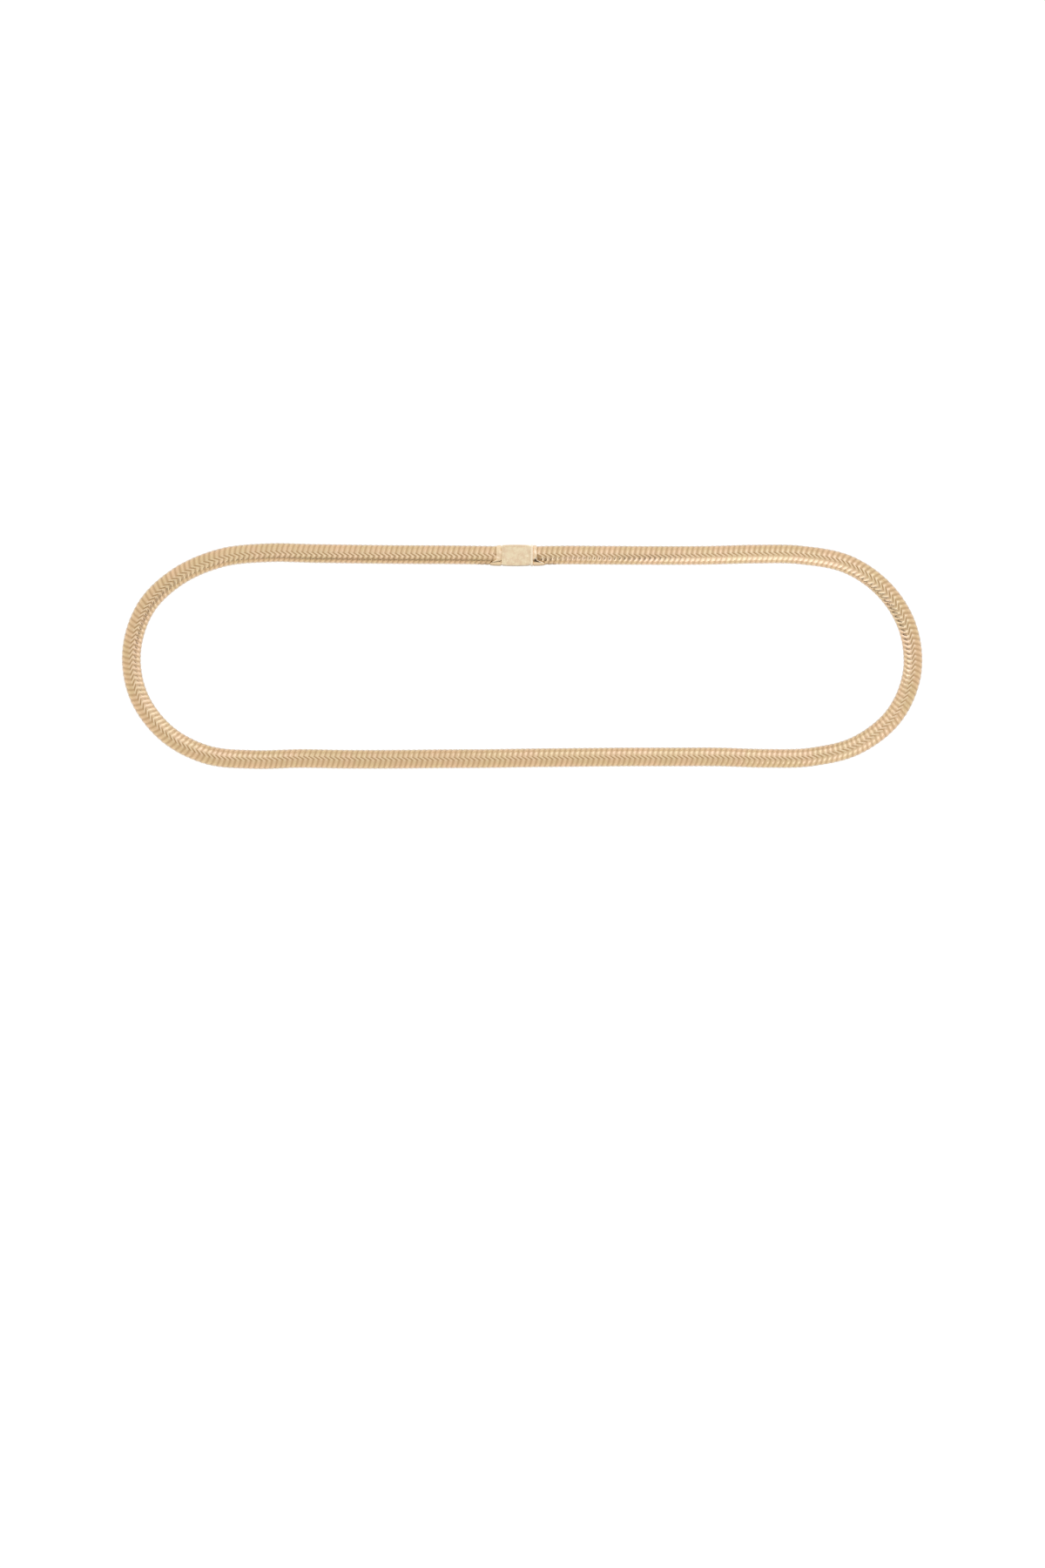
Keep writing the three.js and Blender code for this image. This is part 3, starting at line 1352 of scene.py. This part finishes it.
@dataclass(frozen=True)
class ClaspTongue(SubAssembly):
    """The bright end plate, and the folded spring tongue behind it that goes into the box.

    Attributes:
        plate: Thickness of the end plate.
        corner: Rounding of its corners.
        ease: Rounding of its edges.
        width: Width of the spring leaf.
        leaf: Thickness of the spring leaf.
        fold_gap: Radius inside the fold.
        fold_faces: Faces round the fold.
        spread: How far the upper leaf's free end stands above its fold.
        fold_back: Length of the upper leaf.
        stand: How far the plate's face stands out, to close against the box.
        step: How far the standing part is drawn in from the plate's edge.
    """

    slot: ClassVar[Slot] = Slot.CLASP
    node: str = "clasp_tongue"
    plate: float = 0.7 * MM
    corner: Rounding = Rounding(0.9 * MM, 6)
    ease: Rounding = Rounding(0.15 * MM, 4)
    width: float = 5.2 * MM
    leaf: float = 0.45 * MM
    fold_gap: float = 0.1 * MM
    fold_faces: int = 8
    spread: float = 0.9 * MM
    fold_back: float = 5.6 * MM
    stand: float = 0.28 * MM
    step: float = 0.05 * MM

    def model(self) -> Object:
        """Models the plate and the tongue, soldered together.

        Returns:
            The two in one mesh.
        """
        plate = self._end_plate()
        spring = self._spring()
        modify(plate, "BOOLEAN", object=spring, operation="UNION", solver="EXACT")
        bpy.data.objects.remove(spring)
        return plate

    def _end_plate(self) -> Object:
        """Models the plate with rounded corners and edges.

        Returns:
            The plate, with the face that closes against the box.
        """
        room = self.room
        plate = block(Vector((room.high.x - self.plate, room.low.y, room.low.z)), room.high)
        with editing(plate, Elements.EDGES, runs_along(self.plate / 2)):
            round_selected(self.corner)
        round_rim(plate, looks(RIGHT, -RIGHT), self.ease)
        with editing(plate, Elements.FACES, looks(-RIGHT)):
            bpy.ops.mesh.inset(thickness=self.step)
            extrude(-RIGHT * self.stand)
        return plate

    def _spring(self) -> Object:
        """Models the leaf: out from the plate, round its fold, and back with a raised end.

        Returns:
            The folded leaf.
        """
        room = self.room
        middle = room.centre
        fold_radius = self.fold_gap + self.leaf / 2
        bottom = middle.z - self.leaf - self.fold_gap - self.spread / 2
        fold_x = room.low.x + self.leaf + self.fold_gap
        low = Vector((fold_x, middle.y - self.width / 2, bottom))
        high = Vector((room.high.x - self.plate / 2, middle.y + self.width / 2, bottom + self.leaf))
        spring = block(low, high)
        with editing(spring, Elements.FACES, looks(-RIGHT)):
            bpy.ops.mesh.spin(
                steps=self.fold_faces,
                angle=math.pi,
                center=(fold_x, middle.y, bottom + self.leaf / 2 + fold_radius),
                axis=(0, 1, 0),
            )
            extrude((self.fold_back, 0, self.spread))
        turn_outwards(spring)
        return spring


# Studio


@dataclass(frozen=True)
class Hung:
    """Something flat that hangs in the studio.

    Attributes:
        name: What it is called.
        place: Its middle, in metres.
        aim: The point that it faces.
        size: Its two sides, in metres.
    """

    name: str
    place: Point
    aim: Point
    size: tuple[float, float]

    @property
    def _facing(self) -> Quaternion:
        """The turn that makes it face its aim."""
        return (Vector(self.place) - Vector(self.aim)).to_track_quat("Z", "Y")


@dataclass(frozen=True)
class SoftBox(Hung):
    """A rectangular light behind a diffuser.

    Attributes:
        brightness: How bright its face looks in its strongest colour, where 1 is white.
        tint: Its colour, that of daylight.
    """

    brightness: float
    tint: Colour = srgb(193, 214, 255)

    def build(self) -> None:
        """Hangs the light."""
        turn = self._facing.to_euler()
        bpy.ops.object.light_add(type="AREA", location=self.place, rotation=turn)
        light = bpy.context.active_object
        light.name = self.name
        light.data.shape = "RECTANGLE"
        light.data.size, light.data.size_y = self.size
        light.data.color = self.tint[:3]
        light.data.energy = self.brightness * math.pi * self.size[0] * self.size[1]
        light.visible_camera = False


@dataclass(frozen=True)
class GreyCard(Hung):
    """A card that the gold mirrors as a darker patch. The camera doesn't see it.

    Attributes:
        shade: Its colour.
        roll: How far it is turned in its own plane, in degrees.
        shades: Whether it also keeps light off what is behind it.
    """

    shade: Colour = srgb(112, 108, 101)
    roll: float = 0.0
    shades: bool = False

    def build(self) -> None:
        """Hangs the card."""
        turn = self._facing @ Quaternion(UP, math.radians(self.roll))
        bpy.ops.mesh.primitive_plane_add(size=1, location=self.place, rotation=turn.to_euler())
        card = bpy.context.active_object
        card.name = self.name
        card.scale = (*self.size, 1)
        settle(card)
        card.data.materials.append(MattSheet(self.name, self.shade).material())
        card.visible_camera = False
        card.visible_diffuse = False
        card.visible_shadow = self.shades


@dataclass(frozen=True)
class Studio:
    """A white tent over a luminous table, with the camera straight above the belt.

    Attributes:
        lights: The soft boxes.
        cards: The grey cards.
        table: What the table is made of.
        table_size: Side of the table.
        view_middle: The point that the middle of the picture shows.
        view_height: Height of the camera above the table.
        view_depth: How far the camera sees.
        picture_height: What the picture takes in, from top to bottom, at the table.
        long_side: Width of the camera's sensor along the picture's long side, in millimetres.
        tent: How bright the tent's walls are, where 1 is white.
        crown: How bright the tent is straight above.
        crown_from: Heights, on a ball of radius 1, at which the crown starts and is darkest.
    """

    lights: Sequence[SoftBox]
    cards: Sequence[GreyCard]
    table: MattSheet = MattSheet("white_table", srgb(125, 125, 125), glow=0.86)
    table_size: float = 40.0
    view_middle: tuple[float, float] = (0.12 * MM, -55.04 * MM)
    view_height: float = 2.0
    view_depth: float = 100.0
    picture_height: float = 0.67635
    long_side: float = 36.0
    tent: float = 1.0
    crown: float = 0.93
    crown_from: Ramp = (0.5, 1.0)

    def build(self) -> None:
        """Builds the table, tent, lights and camera."""
        bpy.ops.mesh.primitive_plane_add(size=self.table_size)
        top = bpy.context.active_object
        top.name = "table"
        top.data.materials.append(self.table.material())
        for hung in (*self.lights, *self.cards):
            hung.build()
        self._tent()
        self._camera()
        view = bpy.context.scene.view_settings
        view.view_transform = "Standard"
        view.look = "None"

    def _tent(self) -> None:
        """Makes the tent as the scene's world, a little darker at its crown."""
        world = bpy.data.worlds.new("tent")
        bpy.context.scene.world = world
        graph = Graph(world)
        way = graph.add("ShaderNodeTexCoord", output="Generated")
        height = graph.add("ShaderNodeSeparateXYZ", inputs={"Vector": way}, output="Z")
        brightness = self.tent - height.step_up(*self.crown_from) * (self.tent - self.crown)
        light = graph.add(
            "ShaderNodeBackground", inputs={"Color": (1, 1, 1, 1), "Strength": brightness}
        )
        graph.add("ShaderNodeOutputWorld", inputs={"Surface": light})

    def _camera(self) -> None:
        """Sets the camera straight above, with the clasp's side of the belt at the top."""
        place = (*self.view_middle, self.view_height)
        bpy.ops.object.camera_add(location=place, rotation=(0, 0, 0))
        camera = bpy.context.active_object
        camera.data.sensor_width = self.long_side
        camera.data.lens = self.long_side * self.view_height / self.picture_height
        camera.data.clip_end = self.view_depth
        bpy.context.scene.camera = camera


LIGHTS = (
    SoftBox("inner_back", (0.1, 0, 0.03), (0.1, 0.0435, 0.004), (0.12, 0.044), 1.15),
    SoftBox("inner_front", (0.075, -0.002, 0.032), (0.075, -0.0435, 0.004), (0.16, 0.03), 0.4),
    SoftBox("inner_left", (-0.13, -0.008, 0.036), (-0.13, -0.008, 0), (0.05, 0.04), 0.6),
    SoftBox("low_left", (-0.135, -0.005, 0.008), (-0.168, -0.005, 0.007), (0.024, 0.016), 0.85),
    SoftBox("low_right", (0.138, 0.0035, 0.0045), (0.162, 0.013, 0.0045), (0.014, 0.009), 0.9),
    SoftBox("front_right", (0.17, -0.1, 0.045), (0.145, -0.035, 0.005), (0.1, 0.05), 0.95),
    SoftBox("left_strip", (-0.068, 0.023, 0.05), (-0.068, 0.0435, 0.004), (0.11, 0.014), 0.45),
    SoftBox("clasp_strip", (0.018, 0.012, 0.034), (0.018, 0.0435, 0.004), (0.014, 0.03), 1.3),
    SoftBox("back", (0, 0.3, 0.2), (0, 0.04, 0), (0.8, 0.34), 0.14),
    SoftBox("back_right", (0.2, 0.22, 0.28), (0.05, 0, 0), (0.4, 0.26), 0.5),
)

CARDS = (
    GreyCard("left_card", (-0.058, 0.0018, 0.0226), (-0.058, 0.0418, -0.0694), (0.134, 0.017)),
    GreyCard("middle_card", (0.0385, 0.01, 0.042), (0.0385, 0.068, -0.04), (0.026, 0.024)),
    GreyCard(
        "clasp_card",
        place=(-0.002, 0.033, 0.0003),
        aim=(-0.002, 0.033, 1),
        size=(0.034, 0.014),
        shade=srgb(214, 208, 198),
    ),
    GreyCard(
        "mouth_card",
        place=(0.0072, 0.0343, 0.0125),
        aim=(0.0072, 0.0433, 0.0045),
        size=(0.005, 0.007),
        shade=srgb(84, 74, 62),
        shades=True,
    ),
    GreyCard(
        "right_end_card",
        place=(0.1442, 0.0107, 0.0128),
        aim=(0.162, 0.02, 0.004),
        size=(0.032, 0.0088),
        shade=srgb(84, 70, 58),
        roll=56,
        shades=True,
    ),
    GreyCard(
        "left_end_card",
        place=(-0.1482, 0.0075, 0.0218),
        aim=(-0.1672, 0.0128, 0.004),
        size=(0.021, 0.008),
        shade=srgb(96, 78, 66),
        roll=22,
        shades=True,
    ),
)

DRAWN = GoldPlate(
    "drawn_gold",
    colour=srgb(234, 210, 171),
    blush=srgb(236, 207, 172),
    roughness=0.2,
    grain_stretch=(1, 6, 6),
)
SATIN = GoldPlate(
    "satin_gold",
    colour=srgb(242, 224, 188),
    blush=srgb(232, 206, 172),
    patches=450.0,
    roughness=0.22,
    grain=7000.0,
    grain_stretch=(0.2, 1, 1),
)
BRIGHT = GoldPlate(
    "bright_gold",
    colour=srgb(252, 236, 206),
    blush=srgb(252, 233, 204),
    roughness=0.16,
    grain_stretch=(6, 1, 1),
)


def main() -> None:
    """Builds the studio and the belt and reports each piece."""
    logging.basicConfig(level=logging.INFO, format="%(name)s: %(message)s")
    Studio(LIGHTS, CARDS).build()
    sub_assemblies = (
        SnakeChain(WovenGold("woven_gold")),
        EndCap(DRAWN, "end_cap_left", Side.LEFT, short_side=1.9 * MM),
        EndCap(DRAWN, "end_cap_right", Side.RIGHT, short_side=1.5 * MM),
        ClaspBox(SATIN),
        ClaspTongue(BRIGHT),
    )
    for sub_assembly in sub_assemblies:
        piece = sub_assembly.build()
        LOG.info("%s: %d faces", piece.name, len(piece.data.polygons))


if __name__ == "__main__":
    main()
